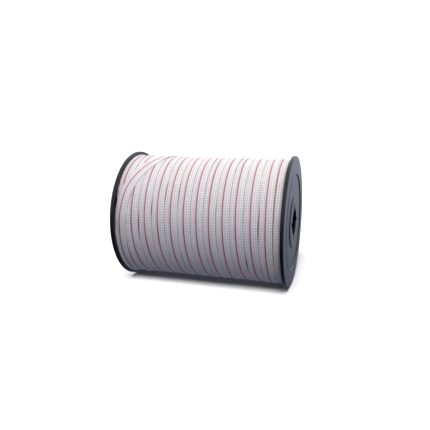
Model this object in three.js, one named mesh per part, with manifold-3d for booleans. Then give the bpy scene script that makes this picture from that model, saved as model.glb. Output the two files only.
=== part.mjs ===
// A spool of woven electric fence tape, lying on the rims of its two flanges.
// Millimetres, +Z up. The spool's axis runs along X, halfway between its flanges is x = 0,
// and the floor that it lies on is z = 0.

import * as THREE from "three";
import { mergeVertices } from "three/addons/utils/BufferGeometryUtils.js";
import Module from "manifold-3d";

const wasm = await Module();
wasm.setup();

// Spool
const flangeDiameter = 128;
const overallWidth = 166;
const rimWidth = 3.8; // a flange's thickness at its rim
const rimRounding = 0.8;
const seatGap = 0.3; // between pieces that touch

// Outer face of a flange
const recessDiameter = 94;
const recessDepth = 1.3;
const bossDiameter = 50;
const wallDraft = 0.5; // how far the recess's two walls lean

// Spindle hole
const boreDiameter = 26;
const keywayCount = 4;
const keywayWidth = 4;
const keywaySpan = 35; // across two keyways that face each other

// Core tube, and the flange's spigot inside its end
const coreDiameter = 50;
const coreWall = 2;
const spigotLength = 9;
const spigotWall = 2;
const spigotLeadIn = 0.6;

// Wound tape
const tapeWidth = 12;
const tapeThickness = 0.6;
const windingDiameter = 120;
const turnGap = 0.8; // bare strip between neighbouring turns

// Fineness of the round shapes
const flangeFacets = 72;
const coreFacets = 48;
const roundingSteps = 3;

const innerWidth = overallWidth - 2 * rimWidth;
const woundWidth = innerWidth - 2 * seatGap;

// The axis is this high because a flat facet of each rim faces the floor.
const axisHeight = (flangeDiameter / 2) * Math.cos(Math.PI / flangeFacets);

const blackPlastic = new THREE.MeshStandardMaterial({ color: 0x2b2d33, roughness: 0.5, metalness: 0 });
const tubePlastic = new THREE.MeshStandardMaterial({ color: 0x35363a, roughness: 0.6, metalness: 0 });
const wovenTape = new THREE.MeshStandardMaterial({ color: 0xe6e4ea, roughness: 0.65, metalness: 0 });

// Points of a quarter circle from angle start, in degrees, turning clockwise
function quarterRound(centreX, centreY, radius, start) {
  const points = [];
  for (let step = 0; step <= roundingSteps; step++) {
    const angle = THREE.MathUtils.degToRad(start - (90 * step) / roundingSteps);
    const x = centreX + radius * Math.cos(angle);
    const y = centreY + radius * Math.sin(angle);
    points.push(new THREE.Vector2(x, y));
  }
  return points;
}

// Turns a closed outline of radius and height about the Y axis, with a facet and no corner at the bottom.
function turned(outline, facets) {
  const loop = [...outline, outline[0]];
  return new THREE.LatheGeometry(loop, facets, Math.PI / facets, 2 * Math.PI);
}

function solidOf(geometry) {
  const bare = geometry.index ? geometry.toNonIndexed() : geometry.clone();
  bare.deleteAttribute("normal");
  bare.deleteAttribute("uv");
  const merged = mergeVertices(bare, 1e-4);
  return new wasm.Manifold(
    new wasm.Mesh({
      numProp: 3,
      vertProperties: new Float32Array(merged.attributes.position.array),
      triVerts: new Uint32Array(merged.index.array),
    }),
  );
}

function geometryOf(solid) {
  const mesh = solid.getMesh();
  const geometry = new THREE.BufferGeometry();
  geometry.setAttribute("position", new THREE.BufferAttribute(mesh.vertProperties, mesh.numProp));
  geometry.setIndex(new THREE.BufferAttribute(mesh.triVerts, 1));
  const flat = geometry.toNonIndexed();
  flat.computeVertexNormals();
  return flat;
}

// One flange about the Y axis. Its outer face is y = 0 and looks along +Y.
function flangeGeometry() {
  const rimRadius = flangeDiameter / 2;
  const recessRadius = recessDiameter / 2;
  const bossRadius = bossDiameter / 2;
  const boreRadius = boreDiameter / 2;
  const spigotOuter = coreDiameter / 2 - coreWall - seatGap;
  const spigotInner = spigotOuter - spigotWall;
  const spigotEnd = -rimWidth - spigotLength;
  const roundingCentre = rimRadius - rimRounding;

  const outline = [
    new THREE.Vector2(boreRadius, 0),
    new THREE.Vector2(bossRadius, 0),
    new THREE.Vector2(bossRadius + wallDraft, -recessDepth),
    new THREE.Vector2(recessRadius - wallDraft, -recessDepth),
    new THREE.Vector2(recessRadius, 0),
    ...quarterRound(roundingCentre, -rimRounding, rimRounding, 90),
    ...quarterRound(roundingCentre, rimRounding - rimWidth, rimRounding, 0),
    new THREE.Vector2(spigotOuter, -rimWidth),
    new THREE.Vector2(spigotOuter, spigotEnd + spigotLeadIn),
    new THREE.Vector2(spigotOuter - spigotLeadIn, spigotEnd),
    new THREE.Vector2(spigotInner, spigotEnd),
    new THREE.Vector2(spigotInner, -rimWidth),
    new THREE.Vector2(boreRadius, -rimWidth),
  ];
  let flange = solidOf(turned(outline.reverse(), flangeFacets));

  // Each bar cuts two keyways that face each other across the bore.
  for (let bar = 0; bar < keywayCount / 2; bar++) {
    const cutter = new THREE.BoxGeometry(keywaySpan, 4 * rimWidth, keywayWidth);
    cutter.rotateY((2 * Math.PI * bar) / keywayCount);
    flange = flange.subtract(solidOf(cutter));
  }
  return geometryOf(flange);
}

// The plain tube that the tape is wound on, centred on the Y axis
function coreTubeGeometry() {
  const outer = coreDiameter / 2;
  const inner = outer - coreWall;
  const end = woundWidth / 2;
  const outline = [
    new THREE.Vector2(inner, -end),
    new THREE.Vector2(outer, -end),
    new THREE.Vector2(outer, end),
    new THREE.Vector2(inner, end),
  ];
  return turned(outline, coreFacets);
}

// The wound tape, centred on the Y axis. A groove one tape thick runs between neighbouring turns,
// and the turns at the two ends take up what is left of the width.
function fenceTapeGeometry() {
  const outer = windingDiameter / 2;
  const inner = coreDiameter / 2 + seatGap;
  const end = woundWidth / 2;
  const turnPitch = tapeWidth + turnGap;
  const turnCount = Math.floor(woundWidth / turnPitch);
  const outline = [
    new THREE.Vector2(inner, -end),
    new THREE.Vector2(outer, -end),
  ];
  for (let groove = 1; groove < turnCount; groove++) {
    const y = (groove - turnCount / 2) * turnPitch;
    outline.push(
      new THREE.Vector2(outer, y - turnGap / 2),
      new THREE.Vector2(outer - tapeThickness, y),
      new THREE.Vector2(outer, y + turnGap / 2),
    );
  }
  outline.push(new THREE.Vector2(outer, end), new THREE.Vector2(inner, end));
  return turned(outline, coreFacets);
}

function piece(name, geometry, material) {
  const mesh = new THREE.Mesh(geometry, material);
  mesh.name = name;
  return mesh;
}

const spool = new THREE.Group();

const flangeRight = piece("flange_right", flangeGeometry(), blackPlastic);
flangeRight.position.y = overallWidth / 2;

const flangeLeft = piece("flange_left", flangeGeometry(), blackPlastic);
flangeLeft.position.y = -overallWidth / 2;
flangeLeft.rotation.x = Math.PI;

const coreTube = piece("core_tube", coreTubeGeometry(), tubePlastic);
const fenceTape = piece("fence_tape", fenceTapeGeometry(), wovenTape);
spool.add(flangeRight, flangeLeft, coreTube, fenceTape);

// The pieces are turned about Y, and the spool lies with that axis along X.
spool.rotation.z = -Math.PI / 2;
spool.position.z = axisHeight;

const part = new THREE.Group();
part.add(spool);

export default part;
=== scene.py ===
# Spool of woven electric fence tape with a red tracer thread, lying on the rims of its flanges
# The spool's axis runs along X. Sizes in the dictionaries are millimetres unless a note says otherwise.

import math
import bmesh
import bpy
import numpy as np
from mathutils import Matrix, Vector


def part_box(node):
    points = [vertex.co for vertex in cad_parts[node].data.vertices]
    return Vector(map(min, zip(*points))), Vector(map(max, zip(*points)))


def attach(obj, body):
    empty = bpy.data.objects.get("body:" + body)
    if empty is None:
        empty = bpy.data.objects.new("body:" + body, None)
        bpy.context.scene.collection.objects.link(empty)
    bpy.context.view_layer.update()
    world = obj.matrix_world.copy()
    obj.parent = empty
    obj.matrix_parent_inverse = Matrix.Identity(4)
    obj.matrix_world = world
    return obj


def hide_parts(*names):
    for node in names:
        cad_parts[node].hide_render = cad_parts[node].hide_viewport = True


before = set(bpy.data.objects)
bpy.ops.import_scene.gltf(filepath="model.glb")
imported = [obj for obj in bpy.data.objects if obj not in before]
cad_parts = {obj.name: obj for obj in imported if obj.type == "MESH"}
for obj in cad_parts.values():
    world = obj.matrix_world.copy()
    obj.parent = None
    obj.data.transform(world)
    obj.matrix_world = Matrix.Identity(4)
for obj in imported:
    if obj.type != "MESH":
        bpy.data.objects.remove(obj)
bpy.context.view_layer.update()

mm = 0.001


# What the frame says: where the axis is, how wide the spool is and how big the winding and its core

flangeLow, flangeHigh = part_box("flange_right")
tapeLow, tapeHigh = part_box("fence_tape")
coreLow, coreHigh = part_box("core_tube")
axisHeight = (flangeLow.z + flangeHigh.z) / 2 / mm
rimRadius = (flangeHigh.z - flangeLow.z) / 2 / mm
halfWidth = flangeHigh.x / mm
woundHalfWidth = tapeHigh.x / mm
woundRadius = (tapeHigh.z - tapeLow.z) / 2 / mm
coreRadius = (coreHigh.z - coreLow.z) / 2 / mm


# Helpers for colours, nodes and meshes

def linearColour(hexCode):
    channels = [int(hexCode[i:i + 2], 16) / 255 for i in (0, 2, 4)]
    linear = [c / 12.92 if c <= 0.04045 else ((c + 0.055) / 1.055) ** 2.4 for c in channels]
    return (*linear, 1.0)


# One node with its settings. An input is given a value or another node's output.
def addNode(tree, kind, inputs=None, **settings):
    node = tree.nodes.new(kind)
    for name, value in settings.items():
        setattr(node, name, value)
    for name, value in (inputs or {}).items():
        if isinstance(value, bpy.types.NodeSocket):
            tree.links.new(value, node.inputs[name])
        else:
            node.inputs[name].default_value = value
    return node


def newMaterial(name, **inputs):
    material = bpy.data.materials.new(name)
    material.use_nodes = True
    tree = material.node_tree
    shader = tree.nodes["Principled BSDF"]
    for socket, value in inputs.items():
        shader.inputs[socket.replace("_", " ")].default_value = value
    return material, tree, shader


def newPiece(name, vertices, faces, material):
    mesh = bpy.data.meshes.new(name)
    mesh.from_pydata(vertices, [], faces)
    mesh.materials.append(material)
    mesh.shade_smooth()
    mesh.update()
    piece = bpy.data.objects.new(name, mesh)
    bpy.context.scene.collection.objects.link(piece)
    return piece


# An outline of (radius, x) with each corner rounded: corners are (radius, x, rounding)
def roundedOutline(corners, steps=4):
    points = []
    for i, (radius, x, rounding) in enumerate(corners):
        here = Vector((radius, x))
        before = Vector(corners[i - 1][:2])
        after = Vector(corners[(i + 1) % len(corners)][:2])
        toBefore = (before - here).normalized()
        toAfter = (after - here).normalized()
        half = toBefore.angle(toAfter) / 2
        reach = rounding / math.tan(half)
        centre = here + (toBefore + toAfter).normalized() * (rounding / math.sin(half))
        start = here + toBefore * reach - centre
        end = here + toAfter * reach - centre
        turn = start.angle_signed(end)
        for step in range(steps + 1):
            points.append(centre + Matrix.Rotation(-turn * step / steps, 2) @ start)
    return points


# Turns a closed outline of (radius, x) about the spool's axis
def spunMesh(outline, segments):
    count = len(outline)
    vertices = []
    for s in range(segments):
        angle = 2 * math.pi * (s + 0.5) / segments
        for radius, x in outline:
            y = radius * math.cos(angle)
            z = axisHeight + radius * math.sin(angle)
            vertices.append((x * mm, y * mm, z * mm))
    faces = []
    for s in range(segments):
        near = s * count
        far = (s + 1) % segments * count
        for i in range(count):
            j = (i + 1) % count
            faces.append((near + i, near + j, far + j, far + i))
    return vertices, faces


def pointFacesOut(piece):
    work = bmesh.new()
    work.from_mesh(piece.data)
    bmesh.ops.recalc_face_normals(work, faces=work.faces)
    work.to_mesh(piece.data)
    work.free()


# Keeps what the modifiers make as the piece's own mesh
def applyModifiers(piece):
    bpy.context.view_layer.update()
    evaluated = piece.evaluated_get(bpy.context.evaluated_depsgraph_get())
    finished = bpy.data.meshes.new_from_object(evaluated)
    piece.modifiers.clear()
    piece.data = finished


# Camera, at the angle and distance of the photograph

camera = {
    "azimuth": 16.665,  # degrees round from the front towards the right-hand flange
    "elevation": 12.307,  # degrees above the horizon
    "distance": 8.026,  # in rim radii, like the next two
    "sideways": 0.0373,
    "upwards": 0.0259,
    "lens": 42.16,
    "sensor": 36,
    "fittedRadius": 64.0,
}


def makeCamera():
    azimuth = math.radians(camera["azimuth"])
    elevation = math.radians(camera["elevation"])
    back = Vector((math.sin(azimuth) * math.cos(elevation),
                   -math.cos(azimuth) * math.cos(elevation),
                   math.sin(elevation)))
    right = Vector((math.cos(azimuth), math.sin(azimuth), 0))
    up = back.cross(right)
    place = camera["sideways"] * right + camera["upwards"] * up + camera["distance"] * back
    place = place * camera["fittedRadius"] + Vector((0, 0, axisHeight))
    data = bpy.data.cameras.new("camera")
    data.lens = camera["lens"]
    data.sensor_width = camera["sensor"]
    data.clip_start = 0.01
    data.clip_end = 100
    seer = bpy.data.objects.new("camera", data)
    turn = Matrix((right, up, back)).transposed().to_4x4()
    seer.matrix_world = Matrix.Translation(place * mm) @ turn
    bpy.context.scene.collection.objects.link(seer)
    bpy.context.scene.camera = seer


makeCamera()
print("camera placed")


# Flanges: polypropylene, injection moulded with a fine spark-eroded finish.
# It gives the eye a near-black satin that turns grey where it is seen at a low angle.

flange = {
    "rimWidth": 3.8,
    "rimRounding": 0.9,
    "recessRadius": 47.0,
    "recessDepth": 0.85,
    "beadWidth": 0.9,  # a fine bead that stands round the recess, flush with the boss
    "beadHeight": 0.3,
    "bossRadius": 25.0,
    "wallLean": 0.5,
    "stepRounding": 0.25,
    "boreRadius": 13.0,
    "boreLip": 1.5,  # the bore widens behind its lip
    "boreRelief": 3.5,
    "keywayWidth": 4.0,
    "keywaySpan": 35.0,
    "keywayEdge": 0.25,
    "spigotOuter": 22.7,
    "spigotInner": 20.7,
    "spigotLength": 9.0,
    "segments": 192,
    "sharpAngle": 25,  # degrees past which an edge is drawn sharp
    "colour": "101116",
    "scuffColour": "22242a",
    "scuffScale": 90,  # per metre
    "scuffRange": (0.52, 0.8),  # of the noise, where scuffs start and where they are full
    "roughness": (0.29, 0.43),  # where the noise is lowest and highest
    "grain": 0.5,  # size of the mould's grain, drawn coarser than the real 0.1 mm so that it shows
    "grainHeight": 0.012,
}


def mouldedPolypropylene():
    material, tree, shader = newMaterial("moulded_polypropylene", IOR=1.49, Specular_IOR_Level=0.3)
    place = addNode(tree, "ShaderNodeNewGeometry").outputs["Position"]
    grain = addNode(tree, "ShaderNodeTexNoise",
                    {"Vector": place, "Scale": 1 / (flange["grain"] * mm), "Detail": 2})
    scuffs = addNode(tree, "ShaderNodeTexNoise",
                     {"Vector": place, "Scale": flange["scuffScale"], "Detail": 6, "Roughness": 0.65})
    scuffs = scuffs.outputs["Fac"]
    scuffed = addNode(tree, "ShaderNodeMapRange",
                      {"Value": scuffs, "From Min": flange["scuffRange"][0], "From Max": flange["scuffRange"][1]})
    colour = addNode(tree, "ShaderNodeMix",
                     {"Factor": scuffed.outputs["Result"], 6: linearColour(flange["colour"]),
                      7: linearColour(flange["scuffColour"])}, data_type="RGBA")
    gloss = addNode(tree, "ShaderNodeMapRange",
                    {"Value": scuffs, "To Min": flange["roughness"][0], "To Max": flange["roughness"][1]})
    relief = addNode(tree, "ShaderNodeBump",
                     {"Strength": 0.6, "Distance": flange["grainHeight"] * mm, "Height": grain.outputs["Fac"]})
    tree.links.new(colour.outputs[2], shader.inputs["Base Color"])
    tree.links.new(gloss.outputs["Result"], shader.inputs["Roughness"])
    tree.links.new(relief.outputs["Normal"], shader.inputs["Normal"])
    return material


# A box across the bore that cuts two keyways which face each other
def keywayCutter(side, angle):
    length = flange["keywaySpan"] * mm
    width = flange["keywayWidth"] * mm
    depth = 4 * flange["rimWidth"] * mm
    work = bmesh.new()
    bmesh.ops.create_cube(work, size=1)
    place = Matrix.Translation((side * halfWidth * mm, 0, axisHeight * mm))
    place = place @ Matrix.Rotation(angle, 4, "X") @ Matrix.Diagonal((depth, width, length, 1))
    bmesh.ops.transform(work, matrix=place, verts=work.verts)
    mesh = bpy.data.meshes.new("cutter")
    work.to_mesh(mesh)
    work.free()
    cutter = bpy.data.objects.new("cutter", mesh)
    bpy.context.scene.collection.objects.link(cutter)
    return cutter


def makeFlange(node, side, material):
    outer = halfWidth
    inner = halfWidth - flange["rimWidth"]
    spigotEnd = inner - flange["spigotLength"]
    floor = outer - flange["recessDepth"]
    bead = flange["beadWidth"]
    ring = outer - flange["beadHeight"]
    lean = flange["wallLean"]
    step = flange["stepRounding"]
    corners = [
        (flange["boreRadius"], outer, step),
        (flange["bossRadius"], outer, step),
        (flange["bossRadius"] + lean, floor, step),
        (flange["recessRadius"] - lean, floor, step),
        (flange["recessRadius"], outer, bead / 3),
        (flange["recessRadius"] + bead, outer, bead / 3),
        (flange["recessRadius"] + 1.5 * bead, ring, bead / 3),
        (rimRadius, ring, flange["rimRounding"]),
        (rimRadius, inner, flange["rimRounding"]),
        (flange["spigotOuter"], inner, step),
        (flange["spigotOuter"], spigotEnd, step),
        (flange["spigotInner"], spigotEnd, step),
        (flange["spigotInner"], inner, step),
        (flange["boreRadius"] + flange["boreRelief"], inner, step),
        (flange["boreRadius"], outer - flange["boreLip"], step),
    ]
    outline = [(point.x, side * point.y) for point in roundedOutline(corners)]
    vertices, faces = spunMesh(outline, flange["segments"])
    piece = newPiece("spool_" + node, vertices, faces, material)
    pointFacesOut(piece)
    cutters = [keywayCutter(side, angle) for angle in (0, math.pi / 2)]
    for cutter in cutters:
        cut = piece.modifiers.new("keyways", "BOOLEAN")
        cut.operation = "DIFFERENCE"
        cut.solver = "EXACT"
        cut.object = cutter
    edge = piece.modifiers.new("edges", "BEVEL")
    edge.width = flange["keywayEdge"] * mm
    edge.segments = 2
    edge.limit_method = "ANGLE"
    edge.angle_limit = math.radians(50)
    applyModifiers(piece)
    for cutter in cutters:
        bpy.data.objects.remove(cutter)
    piece.data.set_sharp_from_angle(angle=math.radians(flange["sharpAngle"]))
    flat = piece.modifiers.new("flat_faces", "WEIGHTED_NORMAL")  # keeps roundings from shading the flat faces
    flat.weight = 90
    flat.keep_sharp = True
    applyModifiers(piece)
    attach(piece, "root")
    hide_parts(node)


polypropylene = mouldedPolypropylene()
makeFlange("flange_right", 1, polypropylene)
makeFlange("flange_left", -1, polypropylene)
print("flanges made")


# Core tube: polypropylene, extruded. It gives the eye a dull black wall behind the keyed bore.

coreTube = {
    "colour": "0c0c0e",
    "lineColour": "141416",
    "roughness": 0.8,
    "drawLines": 0.8,  # spacing of the faint lines that the die leaves along the tube
    "lineStretch": 0.02,  # how much slower the lines change along the tube than round it
    "lineHeight": 0.02,
}


def extrudedPolypropylene():
    material, tree, shader = newMaterial("extruded_polypropylene", IOR=1.49, Roughness=coreTube["roughness"],
                                         Specular_IOR_Level=0.2)
    place = addNode(tree, "ShaderNodeNewGeometry").outputs["Position"]
    stretched = addNode(tree, "ShaderNodeMapping", {"Vector": place, "Scale": (coreTube["lineStretch"], 1, 1)})
    lines = addNode(tree, "ShaderNodeTexNoise",
                    {"Vector": stretched.outputs["Vector"], "Scale": 1 / (coreTube["drawLines"] * mm), "Detail": 3})
    lines = lines.outputs["Fac"]
    colour = addNode(tree, "ShaderNodeMix", {"Factor": lines, 6: linearColour(coreTube["colour"]),
                                             7: linearColour(coreTube["lineColour"])}, data_type="RGBA")
    relief = addNode(tree, "ShaderNodeBump",
                     {"Strength": 0.4, "Distance": coreTube["lineHeight"] * mm, "Height": lines})
    tree.links.new(colour.outputs[2], shader.inputs["Base Color"])
    tree.links.new(relief.outputs["Normal"], shader.inputs["Normal"])
    return material


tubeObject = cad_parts["core_tube"]
tubeObject.data.materials.clear()
tubeObject.data.materials.append(extrudedPolypropylene())
print("core tube finished")


# Fence tape: polyethylene monofilament, woven with a red tracer thread and fine steel wires.
# It gives the eye a satin white band with cross ribs, and a dashed red line along its middle.

tape = {
    "width": 12.0,
    "thickness": 0.6,
    "edgeWidth": 0.3,  # the selvedge, which is rounded off
    "edgeFullness": 0.45,  # of the thickness, at the selvedge
    "edgeShade": 0.6,  # how dark it is
    "crown": 0.08,  # how much prouder the middle stands
    "ribHeight": 0.17,
    "ribShade": 0.26,  # how much darker the weave is between two ribs
    "warpSpacing": 0.5,
    "warpHeight": 0.05,
    "tracerWidth": 1.25,
    "tracerOffset": 0.5,  # from the tracer to the middle of the tape
    "tracerCover": 0.86,  # how much of its strip the tracer covers
    "tracerDash": 0.32,  # how much more it covers on a rib, and less between two
    "tingeWidth": 7.0,  # the threads beside it that its dye has tinged
    "tingeCover": 0.26,
    "wirePlaces": (2.25, 4.25),  # on both sides of the middle
    "wireWidth": 0.35,
    "streakScale": (2.0, 0.05, 1.0),  # per millimetre across and along the tape
    "blotchScale": 0.22,  # per millimetre
    "white": "f8f4ef",
    "shade": "c4c0c2",
    "shadow": "3a3c48",
    "tinge": "e08090",
    "tracer": "7e0838",
    "wire": "868a92",
    "roughness": 0.5,
}

# How the tape lies. Places are of the tracer thread along the axis, one for each turn, where
# the turn passes the front, in the order wound: the inner layer to the right and the outer
# layer back to the left. The crossing is the last stretch, over the turns below it, and its
# entries are turns after the last outer place and the place there.
lay = {
    "frontAngle": 9.5,  # degrees above the horizontal
    "innerPlaces": (-73.5, -66.8, -54.7, -42.3, -30.5, -18.0, -6.3, 4.0, 15.3, 26.6, 37.9, 49.1, 59.3, 71.3),
    "outerPlaces": (72.7, 65.8, 52.3, 38.9, 26.4, 13.9, 2.3, -10.2, -23.0, -35.5, -48.6, -62.3, -69.3),
    "crossing": ((0.06, -74.6), (0.12, -75.4), (0.5, -75.8), (0.85, -76.1), (1.0, -74.0), (1.07, -70.5),
                 (1.12, -63.4), (1.18, -53.2), (1.3, -40.0), (1.45, -31.0), (1.62, -26.0)),
    "layerChange": 0.5,  # turns after the last inner place at which the outer layer begins
    "stepsPerTurn": 457,  # no whole number of ribs, so that those of neighbouring turns don't line up
    "stepsPerRib": 3,  # a rib is raised over each weft thread
    "innerStride": 3,  # the inner layer's mesh takes every third step
    "pathSmoothing": 16,  # steps
    "bow": 1.2,  # how far the turns curve and lean on their way round
    "lean": 0.5,
    "sway": 0.22,
    "swayRates": (1.9, 4.3, 7.1, 13.7),  # radians for each turn
    "wallGap": 0.15,  # between the tape's edge and a flange
    "unevenness": 0.05,  # of the layers underneath, as waves: rounds for each turn, radians a millimetre
    "waves": ((1, 0.06), (2, -0.11), (3, 0.23), (5, -0.05)),
    "climbAcross": 0.35,  # steepest slope on which the tape rides over another turn's edge
    "climbAlong": 0.05,
    "climbReach": 28,  # steps
    "supportSmoothing": 4,
    "seed": 7,
    "cell": 0.2,  # width of a cell of the height map
    "endLift": 0.7,  # how far the loose end stands up, over its last steps
    "endSteps": 22,
}

innerHalf = halfWidth - flange["rimWidth"]
halfTape = tape["width"] / 2
stepLength = 2 * math.pi * woundRadius / lay["stepsPerTurn"]
ribSpacing = lay["stepsPerRib"] * stepLength
topAcross = np.array([-6.0, -5.75, -3.8, -1.9, 0.0, 1.9, 3.8, 5.75, 6.0]) * halfTape / 6
bottomAcross = np.array([5.8, 0.0, -5.8]) * halfTape / 6
feelAcross = np.linspace(-halfTape, halfTape, 25)


def smoothed(values, reach):
    window = np.hanning(2 * reach + 3)[1:-1]
    padded = np.pad(values, reach, mode="edge")
    return np.convolve(padded, window / window.sum(), mode="valid")


# Where the middle of the tape is along the axis at every step, from the start of the inner layer
# to the loose end
def tapePath(random):
    inner = list(enumerate(lay["innerPlaces"]))
    firstOuter = len(inner)
    outer = [(firstOuter + i, place) for i, place in enumerate(lay["outerPlaces"])]
    lastTurn = outer[-1][0]
    crossing = [(lastTurn + turns, place) for turns, place in lay["crossing"]]
    turns, places = zip(*(inner + outer + crossing))
    turn = np.arange(0, turns[-1], 1 / lay["stepsPerTurn"])
    place = smoothed(np.interp(turn, turns, places), lay["pathSmoothing"]) + tape["tracerOffset"]
    angle = 2 * math.pi * turn
    # The bow fades in after the turn beside the right-hand flange and out before the left-hand one.
    regular = np.clip(turn - firstOuter - 0.9, 0, 1) * np.clip(2 * (lastTurn - 0.8 - turn), 0, 1)
    place = place + regular * (lay["bow"] * (1 - np.cos(angle)) - lay["lean"] * np.sin(angle))
    sway = sum(np.sin(turn * rate + random.uniform(0, 6.3)) for rate in lay["swayRates"]) / 2
    free = np.clip((innerHalf - halfTape - 1 - np.abs(place)) / 4, 0, 1)
    place = place + lay["sway"] * free * sway
    return turn, np.minimum(place, innerHalf - halfTape - lay["wallGap"])


# Lays the tape step by step on a map of the winding's height, which each turn then raises
class Winding:
    def __init__(self, random):
        self.steps = lay["stepsPerTurn"]
        self.columns = int(2 * innerHalf / lay["cell"])
        self.turn, self.place = tapePath(random)
        self.slope = np.arctan(np.gradient(self.place) / stepLength)
        angles = np.linspace(0, 2 * math.pi, self.steps, endpoint=False)[:, None]
        along = np.linspace(-innerHalf, innerHalf, self.columns)[None, :]
        waves = sum(np.sin(angles * n + along * k + random.uniform(0, 6.3)) for n, k in lay["waves"])
        self.height = woundRadius - 2 * tape["thickness"] + lay["unevenness"] * waves
        self.support = np.zeros((len(self.turn), len(topAcross)))

    def cellOf(self, place):
        column = ((place + innerHalf) / lay["cell"]).astype(int)
        return np.clip(column, 0, self.columns - 1)

    # The height under the tape at its mesh points, from finer points across it
    def feel(self, first, last):
        rows = np.arange(first, last)[:, None]
        slope = self.slope[first:last, None]
        place = self.place[first:last, None] + feelAcross * np.cos(slope)
        row = (rows - np.round(feelAcross * np.sin(slope) / stepLength).astype(int)) % self.steps
        felt = self.height[row, self.cellOf(place)]
        cost = lay["climbAcross"] * np.abs(feelAcross[:, None] - topAcross[None, :])
        return (felt[:, :, None] - cost[None]).max(axis=1)

    def deposit(self, first, last):
        for step in range(first, last):
            reach = halfTape * math.cos(self.slope[step])
            low, high = self.cellOf(self.place[step] + np.array([-reach, reach]))
            cells = np.arange(low, high + 1)
            across = (cells + 0.5) * lay["cell"] - innerHalf - self.place[step]
            under = np.interp(across, topAcross, self.support[step])
            row = step % self.steps
            self.height[row, cells] = np.maximum(self.height[row, cells], under + tape["thickness"])

    # Works a quarter of a turn at a time, so that no stretch lies on itself
    def layAll(self):
        count = len(self.turn)
        stretch = self.steps // 4
        reach = lay["climbReach"]
        felt = np.zeros_like(self.support)
        for first in range(0, count, stretch):
            last = min(first + stretch, count)
            ahead = min(last + reach, count)
            low = max(first - reach, 0)
            felt[first:ahead] = self.feel(first, ahead)
            window = felt[low:ahead]
            best = window.copy()
            for step in range(1, reach + 1):
                drop = lay["climbAlong"] * stepLength * step
                best[step:] = np.maximum(best[step:], window[:-step] - drop)
                best[:-step] = np.maximum(best[:-step], window[step:] - drop)
            self.support[first:last] = best[first - low:last - low]
            self.deposit(first, last)
        for i in range(len(topAcross)):
            self.support[:, i] = smoothed(self.support[:, i], lay["supportSmoothing"])


def tapeMesh(winding, steps, ribs):
    frontAngle = math.radians(lay["frontAngle"])
    across = np.concatenate([topAcross, bottomAcross])
    top = len(topAcross)
    slope = winding.slope[steps, None]
    support = winding.support[steps]
    bottom = np.array([np.interp(-bottomAcross, topAcross, row[::-1]) for row in support])
    edge = np.abs(topAcross) > halfTape - tape["edgeWidth"] / 2
    fullness = np.where(edge, tape["edgeFullness"], 1.0)
    crown = tape["crown"] * (1 - (topAcross / halfTape) ** 2)
    rib = np.cos(2 * math.pi * steps * stepLength / ribSpacing)[:, None] * tape["ribHeight"] / 2 * ribs
    raised = support + tape["thickness"] * fullness + crown + rib * ~edge
    radius = np.concatenate([raised, bottom + tape["ribHeight"] / 2], axis=1)

    # What doesn't fit beside the left flange stands up along it.
    place = winding.place[steps, None] + across * np.cos(slope)
    wall = innerHalf - lay["wallGap"]
    curl = np.maximum(-wall - place, 0)
    place = np.maximum(place, -wall + tape["thickness"] * (np.arange(len(across)) >= top) * (curl > 0))
    radius = radius + curl
    angle = frontAngle + 2 * math.pi * winding.turn[steps, None] - across * np.sin(slope) / radius

    endSteps = lay["endSteps"]
    lift = np.clip((steps - len(winding.turn) + endSteps) / endSteps, 0, 1)[:, None] ** 2
    radius = radius + lay["endLift"] * lift

    vertices = np.stack([place, -radius * np.cos(angle), axisHeight + radius * np.sin(angle)], axis=2) * mm
    loop = len(across)
    start = np.arange(len(steps) - 1)[:, None] * loop
    here = np.arange(loop)[None, :]
    following = (here + 1) % loop
    faces = np.stack([start + here, start + following, start + loop + following, start + loop + here], axis=2)
    faces = faces.reshape(-1, 4).tolist()
    faces.append(list(range(loop)))
    faces.append([(len(steps) - 1) * loop + i for i in reversed(range(loop))])
    along = np.repeat(steps[:, None] * stepLength, loop, axis=1)
    weave = np.stack([np.broadcast_to(across, along.shape), along, np.zeros_like(along)], axis=2)
    return vertices.reshape(-1, 3).tolist(), faces, weave.reshape(-1, 3)


# The weave attribute gives the material its place across and along the tape, in millimetres
def tapePiece(name, winding, steps, ribs, material):
    vertices, faces, weave = tapeMesh(winding, steps, ribs)
    piece = newPiece(name, vertices, faces, material)
    pointFacesOut(piece)
    attribute = piece.data.attributes.new("weave", "FLOAT_VECTOR", "POINT")
    attribute.data.foreach_set("vector", weave.astype(np.float32).ravel())
    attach(piece, "root")
    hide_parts("fence_tape")


# Slope and start of a band that fades from 1 to 0 where a distance passes half its width
def fade(halfBand, softness):
    return -0.5 / softness, 0.5 + 0.5 * halfBand / softness


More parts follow.
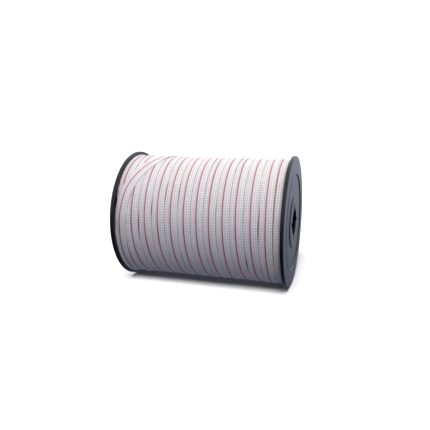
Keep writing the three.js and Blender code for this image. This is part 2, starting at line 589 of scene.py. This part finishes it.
def wovenPolyethylene():
    material, tree, shader = newMaterial("woven_polyethylene_tape", IOR=1.54, Roughness=tape["roughness"],
                                         Specular_IOR_Level=0.8)
    weave = addNode(tree, "ShaderNodeAttribute", attribute_name="weave").outputs["Vector"]
    parts = addNode(tree, "ShaderNodeSeparateXYZ", {"Vector": weave})
    streakPlace = addNode(tree, "ShaderNodeVectorMath", {0: weave, 1: tape["streakScale"]}, operation="MULTIPLY")
    streaks = addNode(tree, "ShaderNodeTexNoise", {"Vector": streakPlace.outputs[0], "Scale": 1.0, "Detail": 3})
    blotches = addNode(tree, "ShaderNodeTexNoise", {"Vector": weave, "Scale": tape["blotchScale"], "Detail": 2})
    known = {
        "across": parts.outputs["X"],
        "along": parts.outputs["Y"],
        "streaks": streaks.outputs["Fac"],  # uneven drawing of the threads
        "blotches": blotches.outputs["Fac"],
    }
    ribRate = 2 * math.pi / ribSpacing
    nearWire, farWire = tape["wirePlaces"]
    halfShade = tape["ribShade"] / 2
    halfTinge = tape["tingeWidth"] / 4

    # Each row makes a value from numbers and earlier values. A band's value is kept between 0 and 1.
    rows = (
        # Warp threads lie side by side, and each goes over one weft thread and under the next.
        ("thread", "DIVIDE", "across", tape["warpSpacing"]),
        ("threadAngle", "MULTIPLY", "thread", math.pi),
        ("threadSine", "SINE", "threadAngle"),
        ("roundness", "ABSOLUTE", "threadSine"),
        ("threadNumber", "FLOOR", "thread"),
        ("parity", "FLOORED_MODULO", "threadNumber", 2.0),
        ("parityAngle", "MULTIPLY", "parity", math.pi),
        ("phase", "MULTIPLY_ADD", "along", ribRate, "parityAngle"),
        ("phaseSine", "SINE", "phase"),
        ("over", "MULTIPLY_ADD", "phaseSine", 0.5, 0.5),
        ("arch", "MULTIPLY_ADD", "over", 0.4, 0.6),
        ("height", "MULTIPLY", "roundness", "arch"),
        ("threadLight", "MULTIPLY_ADD", "height", 0.5, 0.55),
        ("streakLight", "MULTIPLY_ADD", "streaks", 0.5, 0.75),
        ("light", "MULTIPLY", "threadLight", "streakLight"),
        # A steel wire replaces a warp thread, and shows more where it goes over the weft.
        ("fromMiddle", "ABSOLUTE", "across"),
        ("fromWirePair", "SUBTRACT", "fromMiddle", (nearWire + farWire) / 2),
        ("besideWirePair", "ABSOLUTE", "fromWirePair"),
        ("pastWire", "SUBTRACT", "besideWirePair", (farWire - nearWire) / 2),
        ("fromWire", "ABSOLUTE", "pastWire"),
        ("wireBand", "MULTIPLY_ADD", "fromWire", *fade(tape["wireWidth"] / 2, 0.05)),
        ("wireShow", "MULTIPLY_ADD", "over", 0.5, 0.4),
        ("wire", "MULTIPLY", "wireBand", "wireShow"),
        # Less light reaches the selvedges, and the hollows between ribs, where the weft pulls the warp down.
        ("weftAngle", "MULTIPLY", "along", ribRate),
        ("weft", "COSINE", "weftAngle"),
        ("hollowDepth", "MULTIPLY_ADD", "weft", -halfShade, halfShade),
        ("hollowPatches", "MULTIPLY_ADD", "blotches", 1.2, 0.4),
        ("hollow", "MULTIPLY", "hollowDepth", "hollowPatches"),
        ("fromEdge", "SUBTRACT", halfTape, "fromMiddle"),
        ("edgeBand", "MULTIPLY_ADD", "fromEdge", *fade(tape["edgeWidth"] / 2, 0.08)),
        ("edge", "MULTIPLY", "edgeBand", tape["edgeShade"]),
        ("shadow", "MAXIMUM", "hollow", "edge"),
        # The weft crosses the tracer and breaks it into dashes.
        ("besideTracer", "ADD", "across", tape["tracerOffset"]),
        ("fromTracer", "ABSOLUTE", "besideTracer"),
        ("tracerBand", "MULTIPLY_ADD", "fromTracer", *fade(tape["tracerWidth"] / 2, 0.25)),
        ("tracerDashes", "MULTIPLY_ADD", "weft", tape["tracerDash"], tape["tracerCover"]),
        ("tracer", "MULTIPLY", "tracerBand", "tracerDashes"),
        ("tingeBand", "MULTIPLY_ADD", "fromTracer", *fade(halfTinge, halfTinge)),
        ("tinge", "MULTIPLY", "tingeBand", tape["tingeCover"]),
    )
    for name, operation, *terms in rows:
        inputs = {i: known[term] if isinstance(term, str) else term for i, term in enumerate(terms)}
        row = addNode(tree, "ShaderNodeMath", inputs, operation=operation, use_clamp=name.endswith("Band"))
        known[name] = row.outputs[0]

    colour = linearColour(tape["shade"])
    for factor, layer in (("light", "white"), ("wire", "wire"), ("shadow", "shadow"),
                          ("tinge", "tinge"), ("tracer", "tracer")):
        mix = addNode(tree, "ShaderNodeMix",
                      {"Factor": known[factor], 6: colour, 7: linearColour(tape[layer])}, data_type="RGBA")
        colour = mix.outputs[2]
    relief = addNode(tree, "ShaderNodeBump",
                     {"Strength": 1.0, "Distance": tape["warpHeight"] * mm, "Height": known["height"]})
    tree.links.new(colour, shader.inputs["Base Color"])
    tree.links.new(relief.outputs["Normal"], shader.inputs["Normal"])
    return material


# The layers under the two that show: their cut edges make fine rings on the ends.
# They give the eye the same white, a little mottled, in the gaps between turns.

woundLayers = {
    "coreGap": 0.4,
    "topGap": 0.25,  # under the lowest place of the inner layer
    "ringDepth": 0.2,
    "segments": 96,
    "mottleScale": 400,  # per metre
}


def layeredPolyethylene():
    material, tree, shader = newMaterial("wound_polyethylene_layers", IOR=1.54, Roughness=tape["roughness"])
    place = addNode(tree, "ShaderNodeNewGeometry").outputs["Position"]
    mottle = addNode(tree, "ShaderNodeTexNoise",
                     {"Vector": place, "Scale": woundLayers["mottleScale"], "Detail": 3})
    colour = addNode(tree, "ShaderNodeMix",
                     {"Factor": mottle.outputs["Fac"], 6: linearColour(tape["shade"]),
                      7: linearColour(tape["white"])}, data_type="RGBA")
    tree.links.new(colour.outputs[2], shader.inputs["Base Color"])
    return material


def makeWoundLayers():
    inner = coreRadius + woundLayers["coreGap"]
    outer = woundRadius - 2 * tape["thickness"] - woundLayers["topGap"]
    crest = woundHalfWidth
    dip = woundHalfWidth - woundLayers["ringDepth"]
    layers = int((outer - inner) / tape["thickness"])
    pitch = (outer - inner) / layers
    ring = []
    for layer in range(layers):
        ring.append((inner + layer * pitch, dip))
        ring.append((inner + (layer + 0.5) * pitch, crest))
    ring.append((outer, dip))
    outline = ring + [(radius, -x) for radius, x in reversed(ring)]
    vertices, faces = spunMesh(outline, woundLayers["segments"])
    piece = newPiece("tape_wound_layers", vertices, faces, layeredPolyethylene())
    pointFacesOut(piece)
    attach(piece, "root")
    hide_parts("fence_tape")


def makeTape():
    winding = Winding(np.random.default_rng(lay["seed"]))
    winding.layAll()
    change = int((len(lay["innerPlaces"]) - 1 + lay["layerChange"]) * lay["stepsPerTurn"])
    woven = wovenPolyethylene()
    outerSteps = np.arange(change, len(winding.turn))
    innerSteps = np.arange(0, change + 1, lay["innerStride"])
    tapePiece("tape_outer_layer", winding, outerSteps, 1, woven)
    tapePiece("tape_inner_layer", winding, innerSteps, 0, woven)
    makeWoundLayers()


makeTape()
print("tape wound")


# Studio: a pale floor and a white wall round it, under a soft dome that is warm overhead and
# cool near the horizon. A broad light from the camera's side keeps the floor's shadow short.

studio = {
    "domeStrength": 1.65,
    # Colours of the dome by the height of the direction, from -1 straight down to 1 straight up
    "frontDome": ((-1, "2a2a31"), (-0.04, "3c3c44"), (0, "acb2cb"), (1, "fffcf9")),
    "backDome": ((-1, "5a5e70"), (-0.33, "757c92"), (0, "e0e6f8"), (1, "fffbf8")),
    "backStart": (-0.3, 0.5),  # how far back a direction points where the front colours turn into the back ones
    "radius": 8,  # metres
    "wallHeight": 6,
    "sides": 64,
    "floorColour": "8c8c8c",
    "wallColour": "ffffff",
    "floorLight": 15.5,
    "floorLightHeight": 50,  # degrees above the horizon
    "floorLightTurn": 4,  # degrees round from the front, towards the right-hand flange
    "floorLightWidth": 28,
}


def stagePiece(name, vertices, faces, material):
    piece = newPiece(name, vertices, faces, material)
    piece.visible_diffuse = False
    piece.visible_glossy = False
    return piece


def makeFloorAndWall():
    radius = studio["radius"]
    count = studio["sides"]
    ring = [(radius * math.cos(2 * math.pi * i / count), radius * math.sin(2 * math.pi * i / count))
            for i in range(count)]
    matt, tree, shader = newMaterial("pale_matt_floor", Roughness=0.9, Specular_IOR_Level=0)
    shader.inputs["Base Color"].default_value = linearColour(studio["floorColour"])
    floor = stagePiece("floor", [(x, y, 0) for x, y in ring], [tuple(range(count))], matt)

    white, tree, shader = newMaterial("lit_white_wall", Emission_Strength=1.0)
    shader.inputs["Base Color"].default_value = (0, 0, 0, 1)
    shader.inputs["Emission Color"].default_value = linearColour(studio["wallColour"])
    corners = [(x, y, z) for z in (0, studio["wallHeight"]) for x, y in ring]
    sides = [(i, (i + 1) % count, count + (i + 1) % count, count + i) for i in range(count)]
    wall = stagePiece("wall", corners, sides, white)
    wall.visible_shadow = False
    return floor


def makeFloorLight(floor):
    data = bpy.data.lights.new("floor_light", "SUN")
    data.energy = studio["floorLight"]
    data.angle = math.radians(studio["floorLightWidth"])
    light = bpy.data.objects.new("floor_light", data)
    light.rotation_euler = (math.radians(90 - studio["floorLightHeight"]), 0, math.radians(studio["floorLightTurn"]))
    bpy.context.scene.collection.objects.link(light)
    lit = bpy.data.collections.new("lit_floor")
    lit.objects.link(floor)
    light.light_linking.receiver_collection = lit


def makeDome():
    world = bpy.data.worlds.new("dome")
    world.use_nodes = True
    tree = world.node_tree
    direction = addNode(tree, "ShaderNodeTexCoord").outputs["Generated"]
    parts = addNode(tree, "ShaderNodeSeparateXYZ", {"Vector": direction})
    height = addNode(tree, "ShaderNodeMapRange", {"Value": parts.outputs["Z"], "From Min": -1})
    ramps = []
    for side in ("frontDome", "backDome"):
        ramp = addNode(tree, "ShaderNodeValToRGB", {"Fac": height.outputs["Result"]})
        stops = ramp.color_ramp.elements
        while len(stops) < len(studio[side]):
            stops.new(0.5)
        for stop, (place, colour) in zip(stops, studio[side]):
            stop.position = (place + 1) / 2
            stop.color = linearColour(colour)
        ramps.append(ramp)
    low, high = studio["backStart"]
    back = addNode(tree, "ShaderNodeMapRange", {"Value": parts.outputs["Y"], "From Min": low, "From Max": high})
    colour = addNode(tree, "ShaderNodeMix",
                     {"Factor": back.outputs["Result"], 6: ramps[0].outputs["Color"],
                      7: ramps[1].outputs["Color"]}, data_type="RGBA")
    background = tree.nodes["Background"]
    background.inputs["Strength"].default_value = studio["domeStrength"]
    tree.links.new(colour.outputs[2], background.inputs["Color"])
    bpy.context.scene.world = world


makeFloorLight(makeFloorAndWall())
makeDome()
bpy.context.scene.view_settings.view_transform = "Standard"
print("studio lit")
